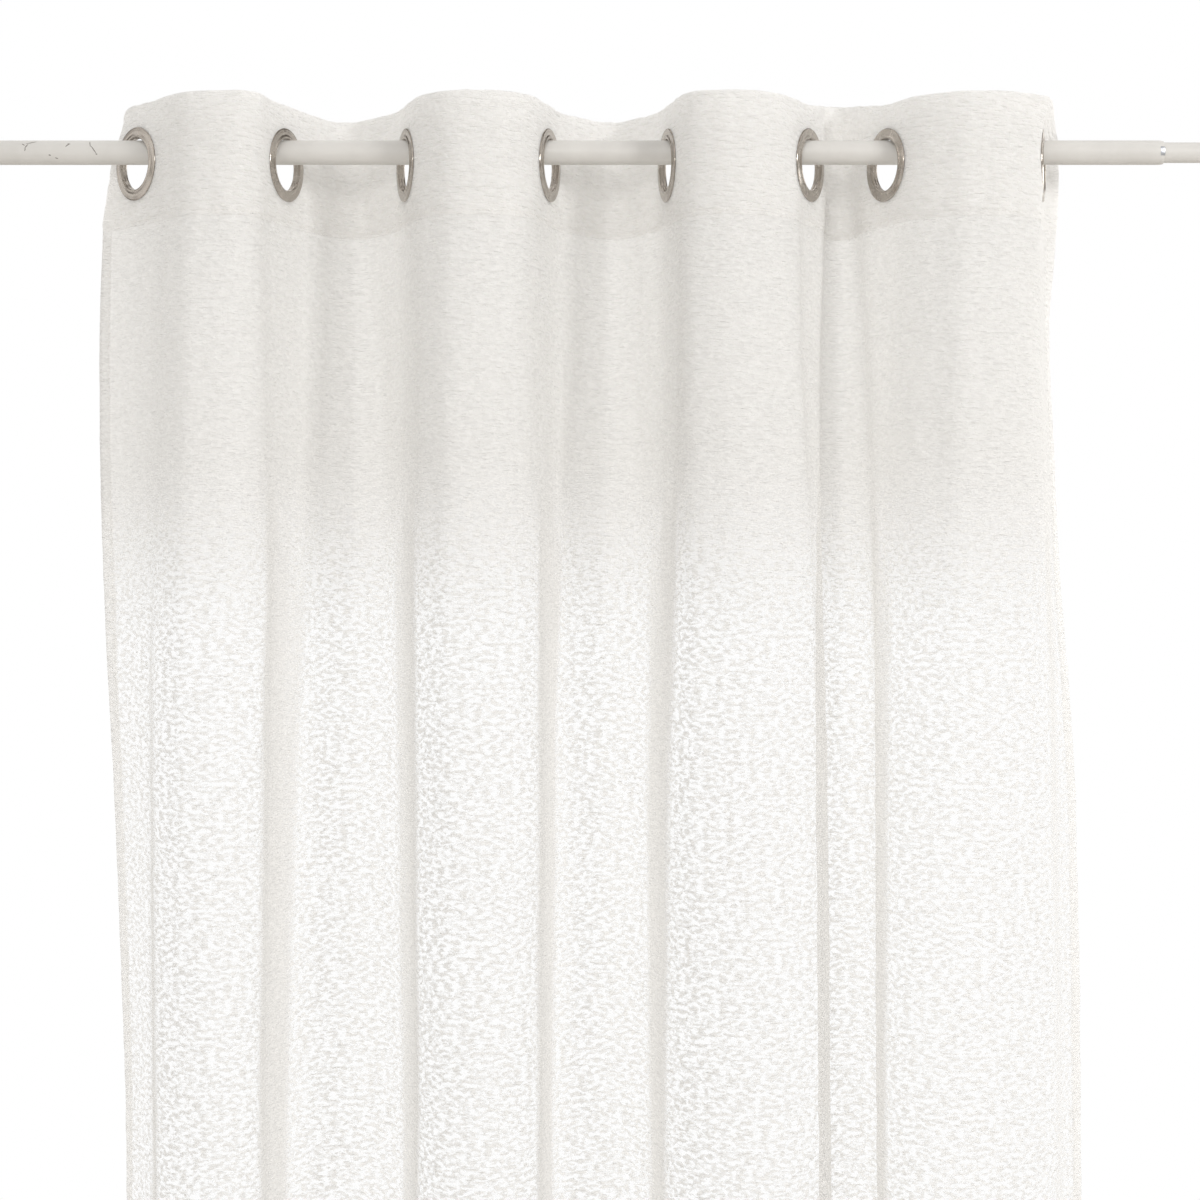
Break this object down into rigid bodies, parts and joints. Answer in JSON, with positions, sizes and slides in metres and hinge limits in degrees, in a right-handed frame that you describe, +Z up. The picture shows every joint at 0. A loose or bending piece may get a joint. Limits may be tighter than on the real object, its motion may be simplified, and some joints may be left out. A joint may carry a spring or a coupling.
{
  "type": "eyelet curtain on extending rod",
  "caption": "Sheer crinkle-weave curtain hanging in soft uneven folds from a doubled heading, its round metal eyelets threaded on a thin extending rod.",
  "frame": {"origin": "on the rod's axis at the middle of the curtain", "axes": "+X along the rod to the viewer's right, +Y to the back, +Z up"},
  "size_m": [1.2, 0.1512, 2.4],
  "materials": {
    "sheer_cloth": "off-white sheer crinkle weave",
    "heading_cloth": "off-white crinkle weave, doubled",
    "nickel": "satin nickel",
    "white_paint": "satin white"
  },
  "bodies": {
    "root": {"panel": "sheer_cloth", "heading": "heading_cloth", "eyelet_1": "nickel", "eyelet_2": "nickel", "eyelet_3": "nickel", "eyelet_4": "nickel", "eyelet_5": "nickel", "eyelet_6": "nickel", "eyelet_7": "nickel", "eyelet_8": "nickel", "rod_outer_tube": "white_paint", "rod_inner_tube": "white_paint"}
  },
  "joints": []
}
